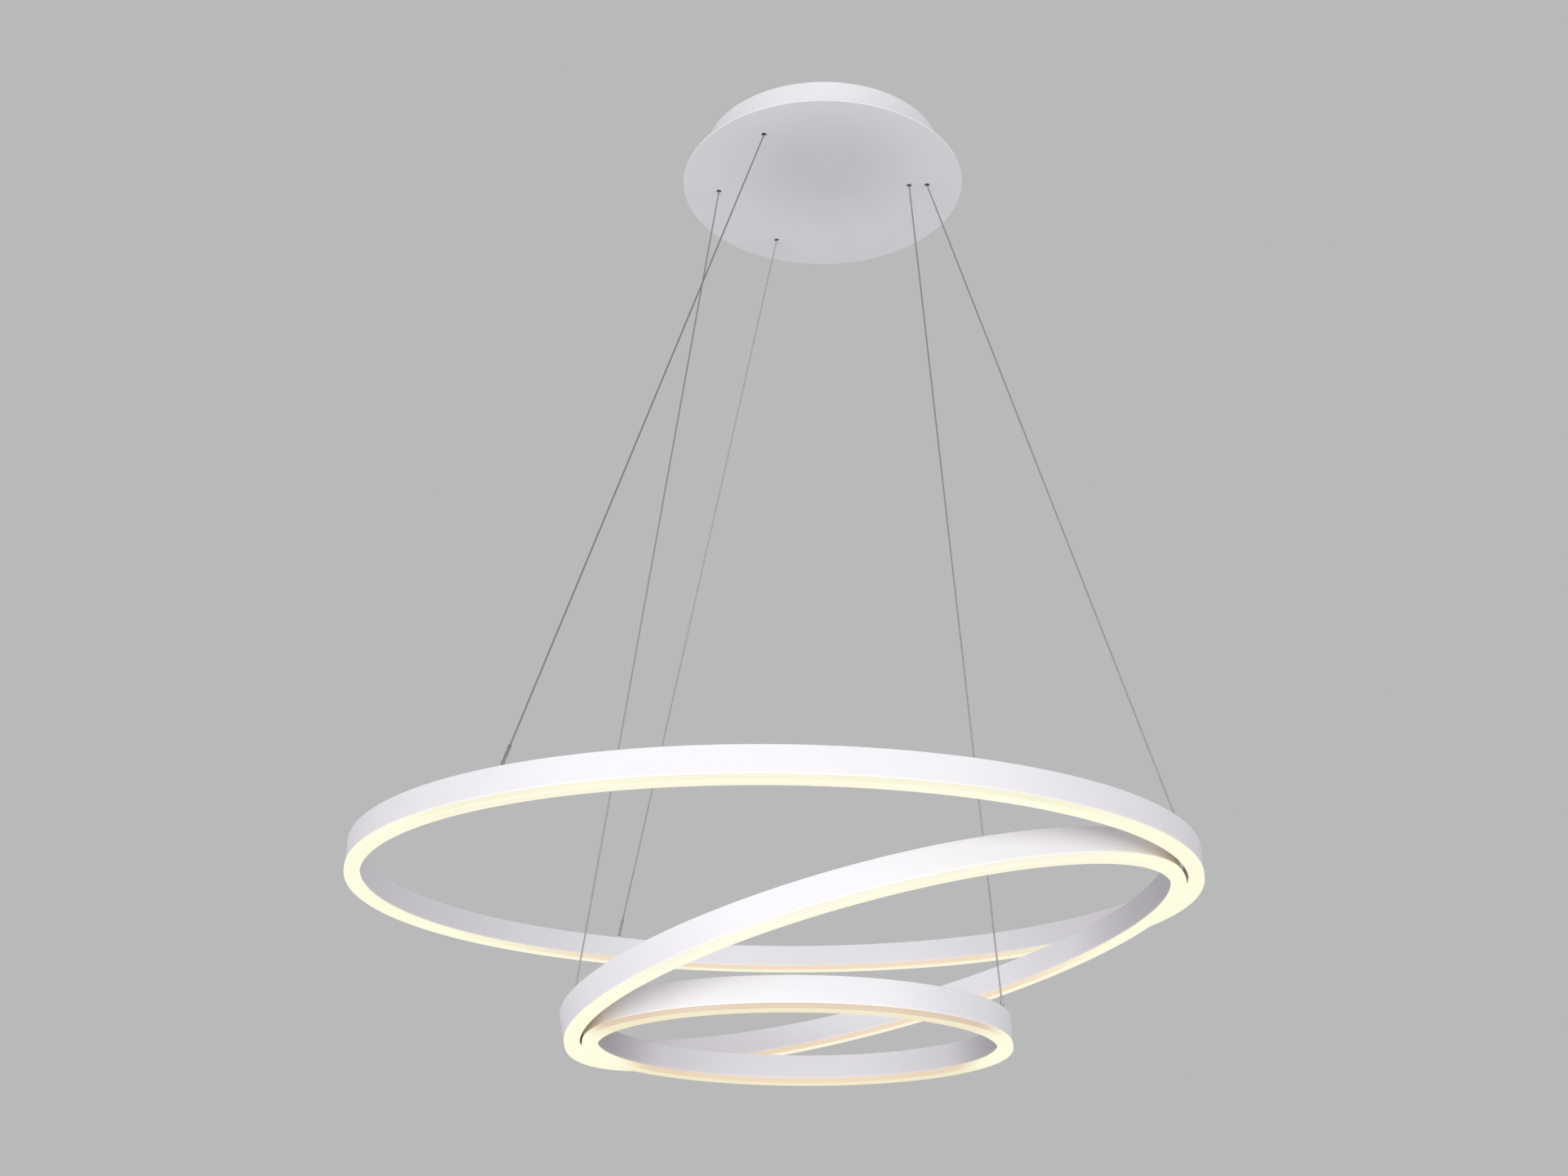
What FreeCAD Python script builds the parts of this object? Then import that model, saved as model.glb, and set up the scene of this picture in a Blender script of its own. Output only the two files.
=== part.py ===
"""Pendant light: three nested LED rings, hinged to one another, on five wires from a round ceiling canopy.

The origin is the middle of the canopy where it meets the ceiling. +Z is up, so the whole light hangs
below Z = 0. +X points from the canopy's middle to the side where the big and the middle ring meet.
All sizes are in millimetres.
"""
import FreeCAD, Part
import math
import os

V = FreeCAD.Vector
hexagon = 6
UP = V(0, 0, 1)
ALONG_X = V(1, 0, 0)
ALONG_Y = V(0, 1, 0)

# Canopy: a pressed drum against the ceiling, with a wider flat plate under it.
drum_radius = 132.0
drum_wall = 1.2
plate_radius = 156.0
plate_thickness = 2.0
canopy_height = 43.0

# Ceiling bracket: a flat bar with two ears bent down, screwed to the drum from outside.
bracket_width = 34.0
bracket_thickness = 2.0
bracket_ear = 20.0
bracket_slot_spacing = 150.0
bracket_slot_length = 22.0
bracket_slot_width = 5.0
cable_hole_radius = 7.0
cable_hole_x = 40.0
bracket_clearance = 0.3
side_screw_radius = 2.0
side_screw_head_radius = 3.6
side_screw_head_height = 2.0
side_screw_length = 7.0
side_screw_depth = 12.0
side_screw_clearance = 0.3

# Driver and terminal block, both standing on the plate.
driver_length = 140.0
driver_width = 42.0
driver_height = 20.0
driver_wall = 2.0
driver_lid_thickness = 1.8
driver_y = 50.0
driver_ear_length = 10.0
driver_ear_thickness = 2.4
driver_ear_slot = 3.6
terminal_poles = 3
terminal_pole_width = 9.0
terminal_pole_gap = 2.0
terminal_pole_depth = 16.0
terminal_pole_height = 13.0
terminal_base_thickness = 2.0
terminal_y = -48.0

# Ring section: an aluminium channel, open below, closed by a slightly wider opal diffuser.
channel_width = 12.6
channel_height = 23.0
channel_wall = 1.5
diffuser_width = 14.0
diffuser_height = 5.5
hook_pitch = 420.0
hook_length = 10.0
hook_height = 4.0
hook_clearance = 0.3
board_width = 4.5
board_thickness = 1.0
board_end_gap = 2.0
board_side_gap = 0.1
led_line_width = 2.2
led_line_height = 0.9
led_line_inset = 3.0

# The rings' outer radii.
big_radius = 400.0
middle_radius = 296.0
small_radius = 196.5

# How the rings hang: the big one level, the middle one sloping down to the left, the small one flat again.
# The two lower rings lean a little, with their +Y side down, because the right hinge sits askew.
suspension_drop = 775.0
ring_offset = -46.5
middle_tilt = 14.45
hinge_lean = 2.2

# Hinge between two rings, in the gap between their walls, just above the diffusers.
wall_gap = 4.2
hinge_depth = 20.0
leaf_thickness = 1.0
leaf_seat_gap = 0.1
leaf_length = 26.0
leaf_top_depth = 6.0
leaf_clearance = 0.6
neck_stand_off = 0.4
knuckle_length = 18.0
knuckle_share = 0.32
knuckle_end_gap = 0.3
pin_radius = 0.9
pin_running_clearance = 0.07

# Suspension wires, each with a gripper above the plate and a crimped ferrule on the ring.
wire_radius = 0.75
wire_inset = 15.0
small_wire_inset = 35.0
# The canopy is screwed up a little askew, so its holes are turned by this angle against the rings.
canopy_turn = -1.3
plate_hole_radius = 3.0
gripper_height = 16.0
gripper_across_flats = 10.0
gripper_bore_radius = 2.4
collet_clearance = 0.3
collet_bore_clearance = 0.3
collet_height = 12.0
collet_recess = 1.0
wire_tail = 4.0
boss_radius = 2.6
boss_height = 2.0
ferrule_radius = 1.5
ferrule_length = 20.0
wire_end_gap = 0.2

os.makedirs("parts", exist_ok=True)

plate_top = plate_thickness - canopy_height
ring_top = -canopy_height - suspension_drop
outer_radius = {"big": big_radius, "middle": middle_radius, "small": small_radius}


def save(name, shape):
    shape.exportStep(os.path.join("parts", name + ".step"))


def solids(shapes):
    """Several separate solids kept together as one part."""
    return Part.makeCompound(shapes)


def box(x0, x1, y0, y1, z0, z1):
    return Part.makeBox(x1 - x0, y1 - y0, z1 - z0, V(x0, y0, z0))


def turned(points):
    """A closed outline of (radius, z) points, turned about the Z axis."""
    corners = [V(r, 0, z) for r, z in points]
    return Part.Face(Part.makePolygon(corners + corners[:1])).revolve(V(), UP, 360)


def polar(radius, angle, z):
    turn = math.radians(angle)
    return V(radius * math.cos(turn), radius * math.sin(turn), z)


def prism(foot, top, radius, sides):
    """A bar with level ends: a level regular polygon, moved straight from its foot to its top."""
    corners = [foot + polar(radius, index * 360.0 / sides, 0) for index in range(sides)]
    return Part.Face(Part.makePolygon(corners + corners[:1])).extrude(top - foot)


def along_x(bar, x, z):
    """A bar made up the Z axis, laid along the X axis with its foot at x, at height z."""
    laid = bar.copy()
    laid.rotate(V(), ALONG_Y, 90)
    laid.translate(V(x, 0, z))
    return laid


# ---------------------------------------------------------------- where the rings hang

hinge_radius_in = {name: r - channel_width - wall_gap / 2 for name, r in outer_radius.items()}
hinge_radius_out = {name: r + wall_gap / 2 for name, r in outer_radius.items()}


def hung_from(hinge, local_hinge, tilt):
    """The placement that puts a ring's own hinge point on a hinge, tilted down to the left and leaning."""
    turn = FreeCAD.Rotation(ALONG_X, -hinge_lean).multiply(FreeCAD.Rotation(ALONG_Y, -tilt))
    return FreeCAD.Placement(hinge, turn).multiply(FreeCAD.Placement(-local_hinge, FreeCAD.Rotation()))


big_place = FreeCAD.Placement(V(ring_offset, 0, ring_top), FreeCAD.Rotation())
right_hinge_on_big = V(hinge_radius_in["big"], 0, -hinge_depth)
right_hinge = big_place.multVec(right_hinge_on_big)
right_hinge_place = hung_from(right_hinge, right_hinge_on_big, 0.0)
middle_place = hung_from(right_hinge, V(hinge_radius_out["middle"], 0, -hinge_depth), middle_tilt)
left_hinge = middle_place.multVec(V(-hinge_radius_in["middle"], 0, -hinge_depth))
small_place = hung_from(left_hinge, V(-hinge_radius_out["small"], 0, -hinge_depth), 0.0)
place = {"big": big_place, "middle": middle_place, "small": small_place}


def placed(shape, placement):
    moved = shape.copy()
    moved.Placement = placement.multiply(moved.Placement)
    return moved


def hang(shape, ring):
    """A shape made about a ring's own centre, moved to where that ring hangs."""
    return placed(shape, place[ring])


# ---------------------------------------------------------------- ring sections

def channel(radius):
    """The bent and welded channel: two walls and a top, open below."""
    inner = radius - channel_width
    bottom = -channel_height
    outline = [
        (radius, 0),
        (radius, bottom),
        (radius - channel_wall, bottom),
        (radius - channel_wall, -channel_wall),
        (inner + channel_wall, -channel_wall),
        (inner + channel_wall, bottom),
        (inner, bottom),
        (inner, 0),
    ]
    return turned(outline)


def middle_line(radius):
    return radius - channel_width / 2


def around(shape, count):
    """Copies of a shape, evenly spaced about the ring's axis."""
    copies = []
    for index in range(count):
        copy = shape.copy()
        copy.rotate(V(), UP, (index + 0.5) * 360.0 / count)
        copies.append(copy)
    return copies


def diffuser(radius, hooks):
    """The opal strip under the walls, with blocks that snap up between them."""
    middle = middle_line(radius)
    half = diffuser_width / 2
    top = -channel_height
    bottom = top - diffuser_height
    outline = [(middle + half, top), (middle + half, bottom), (middle - half, bottom), (middle - half, top)]
    hook_width = channel_width - 2 * channel_wall - 2 * hook_clearance
    hook = box(
        middle - hook_width / 2, middle + hook_width / 2,
        -hook_length / 2, hook_length / 2,
        top, top + hook_height,
    )
    return turned(outline).fuse(around(hook, hooks))


def straight_strips(radius, count, width, inset, z0, z1):
    """Straight strips laid end to end round the channel's ceiling, each a little short of its share."""
    middle = middle_line(radius)
    chord = 2 * middle * math.sin(math.pi / count) - board_end_gap - 2 * inset
    sagitta = middle * (1 - math.cos(math.pi / count))
    centre = middle - sagitta / 2
    strip = box(centre - width / 2, centre + width / 2, -chord / 2, chord / 2, z0, z1)
    return solids(around(strip, count))


def led_boards(radius, count):
    top = -channel_wall
    return straight_strips(radius, count, board_width, 0.0, top - board_thickness, top)


def led_lines(radius, count):
    top = -channel_wall - board_thickness
    return straight_strips(radius, count, led_line_width, led_line_inset, top - led_line_height, top)


# A straight board may bow in from the channel's curve by this much and still clear both walls.
board_bow = channel_width - 2 * channel_wall - board_width - 2 * board_side_gap
for ring, radius in outer_radius.items():
    boards = math.ceil(math.pi / math.acos(1 - board_bow / middle_line(radius)))
    hooks = round(2 * math.pi * middle_line(radius) / hook_pitch)
    save("channel_" + ring, hang(channel(radius), ring))
    save("diffuser_" + ring, hang(diffuser(radius, hooks), ring))
    save("led_boards_" + ring, hang(led_boards(radius, boards), ring))
    save("led_lines_" + ring, hang(led_lines(radius, boards), ring))


# ---------------------------------------------------------------- hinges between the rings

knuckle_radius = wall_gap / 2 - neck_stand_off
own_end = knuckle_length / 2
own_start = knuckle_length * knuckle_share / 2 + knuckle_end_gap / 2
outer_knuckles = [(-own_end, -own_start), (own_start, own_end)]
inner_knuckles = [(-own_start + knuckle_end_gap, own_start - knuckle_end_gap)]


def leaf(wall_radius, side, knuckles, bore):
    """A flat hinge leaf on a ring's wall. Side is +1 on the outer ring's wall and -1 on the inner ring's."""
    axis_radius = wall_radius - side * wall_gap / 2
    bottom = knuckle_radius + leaf_clearance - hinge_depth
    half = leaf_length / 2
    # In the outer ring's hollow wall the leaf's ends touch first, and on the inner ring's its middle does.
    hollow = half ** 2 if side > 0 else 0.0
    back = math.sqrt((wall_radius - side * leaf_seat_gap) ** 2 - hollow)
    face = back - side * leaf_thickness
    made = box(min(back, face), max(back, face), -half, half, bottom, -leaf_top_depth)
    neck_start, neck_end = sorted((wall_radius - side * neck_stand_off, face))
    pieces = []
    for y0, y1 in knuckles:
        pieces.append(box(neck_start, neck_end, y0, y1, -hinge_depth, bottom + leaf_thickness))
        pieces.append(Part.makeCylinder(knuckle_radius, y1 - y0, V(axis_radius, y0, -hinge_depth), ALONG_Y))
    made = made.fuse(pieces)
    foot = V(axis_radius, -own_end, -hinge_depth)
    return made.cut(Part.makeCylinder(bore, knuckle_length, foot, ALONG_Y)).removeSplitter()


def hinge(outer_ring, inner_ring, heading, outer_place):
    """The outer leaf, the inner leaf and the pin. Heading turns the hinge to its side of the rings."""
    outer_wall = outer_radius[outer_ring] - channel_width
    outer_leaf = leaf(outer_wall, 1, outer_knuckles, pin_radius)
    inner_leaf = leaf(outer_radius[inner_ring], -1, inner_knuckles, pin_radius + pin_running_clearance)
    foot = V(hinge_radius_in[outer_ring], -own_end, -hinge_depth)
    pin = Part.makeCylinder(pin_radius, knuckle_length, foot, ALONG_Y)
    for made in (outer_leaf, inner_leaf, pin):
        made.rotate(V(), UP, heading)
    return placed(outer_leaf, outer_place), hang(inner_leaf, inner_ring), placed(pin, outer_place)


hinges = [
    ("right", "big", "middle", 0, right_hinge_place),
    ("left", "middle", "small", 180, middle_place),
]
for label, outer_ring, inner_ring, heading, outer_place in hinges:
    outer_leaf, inner_leaf, pin = hinge(outer_ring, inner_ring, heading, outer_place)
    save("hinge_leaf_outer_" + label, outer_leaf)
    save("hinge_leaf_inner_" + label, inner_leaf)
    save("hinge_pin_" + label, pin)


# ---------------------------------------------------------------- wires, grippers and ferrules

wire_circle = drum_radius - wire_inset
small_wire_circle = drum_radius - small_wire_inset
wire_sides = 8
ferrule_sides = 12
hole_sides = 16

# Each wire: its name, its ring, the angles of its hole on the plate and of its boss on the ring, and the
# circle of its hole.
wires = [
    ("left_front", "big", 240.0, 239.5, wire_circle),
    ("left_back", "big", 120.0, 119.5, wire_circle),
    ("right", "big", 0.0, -3.6, wire_circle),
    ("middle_ring", "middle", 180.0, 180.0, wire_circle),
    ("small_ring", "small", 0.0, 0.0, small_wire_circle),
]


def ferrule_ends(ring, angle, hole):
    """The ferrule's foot on the boss, in the ring's frame, and its top, on the line to the plate's hole."""
    foot = polar(middle_line(outer_radius[ring]), angle, boss_height)
    line = place[ring].inverse().multVec(hole) - foot
    return foot, foot + line * (ferrule_length / line.Length)


def gripper_body(seat):
    """A hexagonal body with a hexagonal bore, in which the collet slides but can't turn."""
    top = seat + V(0, 0, gripper_height)
    corner_radius = gripper_across_flats / 2 / math.cos(math.pi / hexagon)
    return prism(seat, top, corner_radius, hexagon).cut(prism(seat, top, gripper_bore_radius, hexagon))


def collet(seat):
    """The sleeve that grips the wire. Its nose sits in the plate's hole, and pushing it up lets go."""
    low = seat - V(0, 0, collet_recess)
    high = seat + V(0, 0, collet_height)
    sleeve = prism(low, high, gripper_bore_radius - collet_clearance, hexagon)
    return sleeve.cut(prism(low, high, wire_radius + collet_bore_clearance, hexagon))


plate_holes = []
gripper_bodies = []
bosses = {"big": [], "middle": [], "small": []}
ferrules = {"big": [], "middle": [], "small": []}
for name, ring, hole_angle, boss_angle, circle in wires:
    hole = polar(circle, hole_angle + canopy_turn, -canopy_height)
    seat = polar(circle, hole_angle + canopy_turn, plate_top)
    plate_holes.append(prism(hole, seat, plate_hole_radius, hole_sides))
    gripper_bodies.append(gripper_body(seat))
    save("gripper_collet_" + name, collet(seat))

    boss_foot = polar(middle_line(outer_radius[ring]), boss_angle, 0)
    foot, tip = ferrule_ends(ring, boss_angle, hole)
    bosses[ring].append(hang(prism(boss_foot, foot, boss_radius, hexagon), ring))
    ferrules[ring].append(hang(prism(foot, tip, ferrule_radius, ferrule_sides), ring))

    lower = place[ring].multVec(tip)
    along = (hole - lower).normalize()
    tail_top = seat + V(0, 0, collet_height + wire_tail)
    tail = prism(hole, tail_top, wire_radius, wire_sides)
    free = prism(hole, lower + along * wire_end_gap, wire_radius, wire_sides)
    save("wire_" + name, tail.fuse(free))
    print("wire", name, "free length", round((hole - lower).Length, 1), "from", hole, "to", lower)

save("wire_gripper_bodies", solids(gripper_bodies))
for ring in outer_radius:
    save("wire_bosses_" + ring, solids(bosses[ring]))
    save("wire_ferrules_" + ring, solids(ferrules[ring]))


# ---------------------------------------------------------------- canopy

screw_sides = 12

def side_screw(side):
    """A screw through the drum's wall into the bracket's ear, its head outside the drum."""
    head_top = V(0, 0, side_screw_head_height)
    screw = prism(V(), head_top, side_screw_head_radius, hexagon)
    screw = screw.fuse(prism(V(0, 0, -side_screw_length), V(), side_screw_radius, screw_sides))
    screw = along_x(screw, drum_radius, -side_screw_depth)
    screw.rotate(V(), UP, 0 if side > 0 else 180)
    return screw


def side_holes(radius):
    """One bar through both side screws' places, to cut their holes."""
    reach = drum_radius + drum_wall
    return along_x(prism(V(), V(0, 0, 2 * reach), radius, screw_sides), -reach, -side_screw_depth)


def canopy_drum():
    inner = drum_radius - drum_wall
    outline = [(drum_radius, 0), (drum_radius, plate_top), (inner, plate_top), (inner, 0)]
    return turned(outline).cut(side_holes(side_screw_radius + side_screw_clearance))


def canopy_plate():
    disc = Part.makeCylinder(plate_radius, plate_thickness, V(0, 0, -canopy_height))
    return disc.cut(plate_holes)


def slot(x):
    """A slot through the bracket along X, centred at x."""
    half = (bracket_slot_length - bracket_slot_width) / 2
    r = bracket_slot_width / 2
    low = -bracket_thickness
    bar = box(x - half, x + half, -r, r, low, 0)
    ends = [Part.makeCylinder(r, bracket_thickness, V(x + shift, 0, low)) for shift in (-half, half)]
    return bar.fuse(ends).removeSplitter()


def ceiling_bracket():
    reach = drum_radius - drum_wall - bracket_clearance
    half = bracket_width / 2
    # The ears' outer corners must stay inside the round drum.
    end = math.sqrt(reach ** 2 - half ** 2)
    bar = box(-end, end, -half, half, -bracket_thickness, 0)
    for side in (-1, 1):
        inside, outside = sorted((side * end, side * (end - bracket_thickness)))
        bar = bar.fuse(box(inside, outside, -half, half, -bracket_ear, 0))
    cuts = [slot(-bracket_slot_spacing / 2), slot(bracket_slot_spacing / 2)]
    cable_foot = V(cable_hole_x, 0, -bracket_thickness)
    cuts.append(Part.makeCylinder(cable_hole_radius, bracket_thickness, cable_foot))
    cuts.append(side_holes(side_screw_radius))
    return bar.removeSplitter().cut(cuts)


def driver_case():
    """An open-topped plastic case with a slotted screw ear at each end."""
    x = driver_length / 2
    half = driver_width / 2
    floor = plate_top
    rim = floor + driver_height
    wall = driver_wall
    case = box(-x, x, driver_y - half, driver_y + half, floor, rim)
    hollow = box(-x + wall, x - wall, driver_y - half + wall, driver_y + half - wall, floor + wall, rim)
    case = case.cut(hollow)
    ear_top = floor + driver_ear_thickness
    ear_half = driver_width / 4
    slot_half = driver_ear_slot / 2
    for side in (-1, 1):
        inside, outside = sorted((side * x, side * (x + driver_ear_length)))
        ear = box(inside, outside, driver_y - ear_half, driver_y + ear_half, floor, ear_top)
        slot_start, slot_end = sorted((side * (x + driver_ear_length / 2), side * (x + driver_ear_length)))
        notch = box(slot_start, slot_end, driver_y - slot_half, driver_y + slot_half, floor, ear_top)
        case = case.fuse(ear.cut(notch))
    return case.removeSplitter()


def driver_lid():
    x = driver_length / 2
    half = driver_width / 2
    base = plate_top + driver_height
    return box(-x, x, driver_y - half, driver_y + half, base, base + driver_lid_thickness)


def terminal_block():
    """A base with a row of separate poles, one for each supply wire."""
    pitch = terminal_pole_width + terminal_pole_gap
    half = (terminal_poles * pitch) / 2
    y0 = terminal_y - terminal_pole_depth / 2
    y1 = terminal_y + terminal_pole_depth / 2
    floor = plate_top + terminal_base_thickness
    block = box(-half, half, y0, y1, plate_top, floor)
    for index in range(terminal_poles):
        x = -half + terminal_pole_gap / 2 + index * pitch
        block = block.fuse(box(x, x + terminal_pole_width, y0, y1, floor, plate_top + terminal_pole_height))
    return block.removeSplitter()


save("canopy_drum", canopy_drum())
save("canopy_plate", canopy_plate())
save("ceiling_bracket", ceiling_bracket())
save("canopy_side_screws", solids([side_screw(-1), side_screw(1)]))
save("driver_case", driver_case())
save("driver_lid", driver_lid())
save("terminal_block", terminal_block())
print("hinges", right_hinge, left_hinge, "middle centre", middle_place.Base, "small centre", small_place.Base)
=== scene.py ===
"""A ceiling light of three nested LED rings on five steel wires, dressed for the studio.

The frame's origin is the middle of the canopy where it meets the ceiling, +Z is up, and every
length here is in metres.
"""
import math

import bmesh
import bpy
from mathutils import Matrix, Vector


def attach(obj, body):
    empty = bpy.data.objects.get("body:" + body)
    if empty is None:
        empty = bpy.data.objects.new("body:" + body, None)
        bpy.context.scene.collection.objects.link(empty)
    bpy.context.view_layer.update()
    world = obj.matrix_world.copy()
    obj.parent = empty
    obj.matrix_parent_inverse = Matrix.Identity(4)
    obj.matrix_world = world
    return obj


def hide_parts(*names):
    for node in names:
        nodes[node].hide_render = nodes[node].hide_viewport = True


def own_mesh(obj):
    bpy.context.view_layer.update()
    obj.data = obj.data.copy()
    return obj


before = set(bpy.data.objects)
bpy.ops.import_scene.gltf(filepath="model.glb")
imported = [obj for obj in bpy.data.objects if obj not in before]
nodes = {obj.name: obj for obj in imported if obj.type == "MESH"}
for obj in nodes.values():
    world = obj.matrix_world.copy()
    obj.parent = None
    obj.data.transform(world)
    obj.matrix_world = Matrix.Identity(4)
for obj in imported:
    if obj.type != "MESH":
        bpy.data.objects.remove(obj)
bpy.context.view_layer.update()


# ---------------------------------------------------------------- camera
# The photographer stands on the floor, a little to the right of the light, and looks up at it with
# a moderate lens. The pose was solved from the rings' edges and the wires' ends in the photograph.

photo_width = 1920
sensor_width = 36.0
focal_in_pixels = 2177.24
camera_place = Vector((0.034017, -1.678725, -1.215576))
camera_pitch = math.radians(22.2605)
camera_yaw = math.radians(-2.5144)
camera_roll = math.radians(0.4711)

camera_data = bpy.data.cameras.new("camera")
camera_data.sensor_fit = "HORIZONTAL"
camera_data.sensor_width = sensor_width
camera_data.lens = focal_in_pixels * sensor_width / photo_width
camera = bpy.data.objects.new("camera", camera_data)
ahead = Vector((
    math.sin(camera_yaw) * math.cos(camera_pitch),
    math.cos(camera_yaw) * math.cos(camera_pitch),
    math.sin(camera_pitch),
))
level_right = Vector((math.cos(camera_yaw), -math.sin(camera_yaw), 0.0))
level_up = level_right.cross(ahead)
image_right = level_right * math.cos(camera_roll) + level_up * math.sin(camera_roll)
image_up = level_up * math.cos(camera_roll) - level_right * math.sin(camera_roll)
camera_turn = Matrix((image_right, image_up, -ahead)).transposed().to_4x4()
camera.matrix_world = Matrix.Translation(camera_place) @ camera_turn
bpy.context.scene.collection.objects.link(camera)
bpy.context.scene.camera = camera


# ---------------------------------------------------------------- suspension wires
# Five galvanised steel ropes, 1.5 mm thick, come out of the grippers through the plate's holes and
# run straight to crimped ferrules on the rings. Each slides up into its gripper when the light is
# raised.

wire_radius = 0.00075
wire_sides = 12
wire_steps = 40
strand_count = 6
strand_lay = 0.0075
# The strands' tones, from the painted shade in the grooves between them, past their sides, to their
# crowns.
strand_groove_painted_shade = (0.32, 0.32, 0.33)
strand_side = (0.38, 0.38, 0.39)
strand_crown = (0.43, 0.43, 0.44)
# How far from the plate's hole and from the ferrule a wire has straightened out.
gripper_lead = 0.007
canopy_bottom = -0.043
wire_tail_top = -0.025
# Where the lower rings' wires are divided, so that the part below can follow the ring that tilts.
divide_height = -0.543
# How far each lower ring's ferrule moves when the middle ring has turned up to level.
tilt_move = {
    "middle_ring": Vector((-0.008239, 0.005609, 0.145998)),
    "small_ring": Vector((-0.018329, 0.005550, 0.144474)),
}

wire_ends = {
    "left_front": ((-0.060784, -0.099972, canopy_bottom), (-0.241848, -0.333460, -0.797377)),
    "left_back": ((-0.056186, 0.102626, canopy_bottom), (-0.235930, 0.336876, -0.797376)),
    "right": ((0.116970, -0.002654, canopy_bottom), (0.340734, -0.024174, -0.796834)),
    "middle_ring": ((-0.116970, 0.002654, canopy_bottom), (-0.233332, -0.004652, -0.943446)),
    "small_ring": ((0.096975, -0.002201, canopy_bottom), (0.165017, -0.004651, -0.940548)),
}


def put_in_scene(name, mesh):
    piece = bpy.data.objects.new(name, mesh)
    bpy.context.scene.collection.objects.link(piece)
    return piece


def add_loops(corners, faces, loops, closed=False):
    """Equally long loops of points, each joined to the next. The ends are capped, or joined."""
    first, count = len(corners), len(loops[0])
    pairs = [(first + step * count, first + (step + 1) * count) for step in range(len(loops) - 1)]
    if closed:
        pairs.append((first + (len(loops) - 1) * count, first))
    for loop in loops:
        corners.extend(loop)
    for low, high in pairs:
        for index in range(count):
            after = (index + 1) % count
            faces.append((low + index, low + after, high + after, high + index))
    if not closed:
        faces.append(tuple(first + index for index in reversed(range(count))))
        faces.append(tuple(len(corners) - count + index for index in range(count)))


def new_mesh(name, corners, faces, smooth=True):
    mesh = bpy.data.meshes.new(name)
    mesh.from_pydata(corners, [], faces)
    if smooth:
        mesh.shade_smooth()
    return mesh


def new_finish(name, slot, roughness, metallic=0.0):
    """A material for one finish, with its Principled shader's plain values."""
    finish = bpy.data.materials.new(name)
    finish.use_nodes = True
    shader = shader_of(finish)
    shader.inputs["Roughness"].default_value = roughness
    shader.inputs["Metallic"].default_value = metallic
    finish["slot"] = slot
    return finish


def shader_of(finish):
    return finish.node_tree.nodes["Principled BSDF"]


def new_effect(name, inputs, outputs):
    """An empty node group for an effect that several finishes share."""
    effect = bpy.data.node_groups.new(name, "ShaderNodeTree")
    for label, kind, value in inputs:
        socket = effect.interface.new_socket(label, in_out="INPUT", socket_type=kind)
        socket.default_value = value
    for label, kind in outputs:
        effect.interface.new_socket(label, in_out="OUTPUT", socket_type=kind)
    return effect, effect.nodes.new("NodeGroupInput"), effect.nodes.new("NodeGroupOutput")


def place_effect(tree, effect, vector, values):
    """The effect's group in a finish's tree, with this finish's own values."""
    group = tree.nodes.new("ShaderNodeGroup")
    group.node_tree = effect
    for label, value in values.items():
        group.inputs[label].default_value = value
    tree.links.new(vector, group.inputs["Vector"])
    return group


def add_node(tree, kind, settings=(), values=()):
    """A node with its settings and its sockets' values."""
    node = tree.nodes.new(kind)
    for label, value in dict(settings).items():
        setattr(node, label, value)
    for label, value in dict(values).items():
        node.inputs[label].default_value = value
    return node


def feed(tree, socket, source):
    """Links a socket to another one, or gives it a plain value."""
    if isinstance(source, bpy.types.NodeSocket):
        tree.links.new(source, socket)
    else:
        socket.default_value = source


def add_math(tree, operation, *sources, clamp=False):
    """The result of a sum on sockets and plain numbers."""
    node = add_node(tree, "ShaderNodeMath", {"operation": operation, "use_clamp": clamp})
    for socket, source in zip(node.inputs, sources):
        feed(tree, socket, source)
    return node.outputs["Value"]


def add_range(tree, source, start, end, to=(0.0, 1.0), smooth=False):
    """A value's way from start to end, spread over another range."""
    node = add_node(
        tree, "ShaderNodeMapRange", {"interpolation_type": "SMOOTHSTEP" if smooth else "LINEAR"},
        {"From Min": start, "From Max": end, "To Min": to[0], "To Max": to[1]},
    )
    tree.links.new(source, node.inputs["Value"])
    return node.outputs["Result"]


def add_ramp(tree, factor, stops):
    """A colour from (position, (r, g, b)) stops."""
    node = tree.nodes.new("ShaderNodeValToRGB")
    elements = node.color_ramp.elements
    while len(elements) < len(stops):
        elements.new(1.0)
    for element, (position, colour) in zip(elements, stops):
        element.position = position
        element.color = (*colour, 1.0)
    tree.links.new(factor, node.inputs["Fac"])
    return node.outputs["Color"]


def add_bump(finish, height, strength, distance):
    tree = finish.node_tree
    bump = add_node(tree, "ShaderNodeBump", {}, {"Strength": strength, "Distance": distance})
    tree.links.new(height, bump.inputs["Height"])
    tree.links.new(bump.outputs["Normal"], shader_of(finish).inputs["Normal"])


def axes_of(tree, place):
    """A place's three coordinates."""
    split = tree.nodes.new("ShaderNodeSeparateXYZ")
    tree.links.new(place, split.inputs["Vector"])
    return split.outputs["X"], split.outputs["Y"], split.outputs["Z"]


def rope_finish():
    """Dull galvanised strands laid in a spiral, with painted shade darkening the grooves between
    them.
    """
    finish = new_finish("galvanised_rope", "steel_wire", roughness=0.46, metallic=1.0)
    tree = finish.node_tree
    turns, length, _ = axes_of(tree, tree.nodes.new("ShaderNodeTexCoord").outputs["UV"])
    around = add_math(tree, "MULTIPLY", turns, math.tau * strand_count)
    laid = math.tau * strand_count / strand_lay
    spiral = add_math(tree, "SINE", add_math(tree, "MULTIPLY_ADD", length, laid, around))
    ridge = add_range(tree, spiral, -1.0, 1.0)
    colour = add_ramp(tree, ridge, [(0.0, strand_groove_painted_shade), (0.45, strand_side), (1.0, strand_crown)])
    tree.links.new(colour, shader_of(finish).inputs["Base Color"])
    add_bump(finish, ridge, strength=0.12, distance=0.0001)
    return finish


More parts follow.
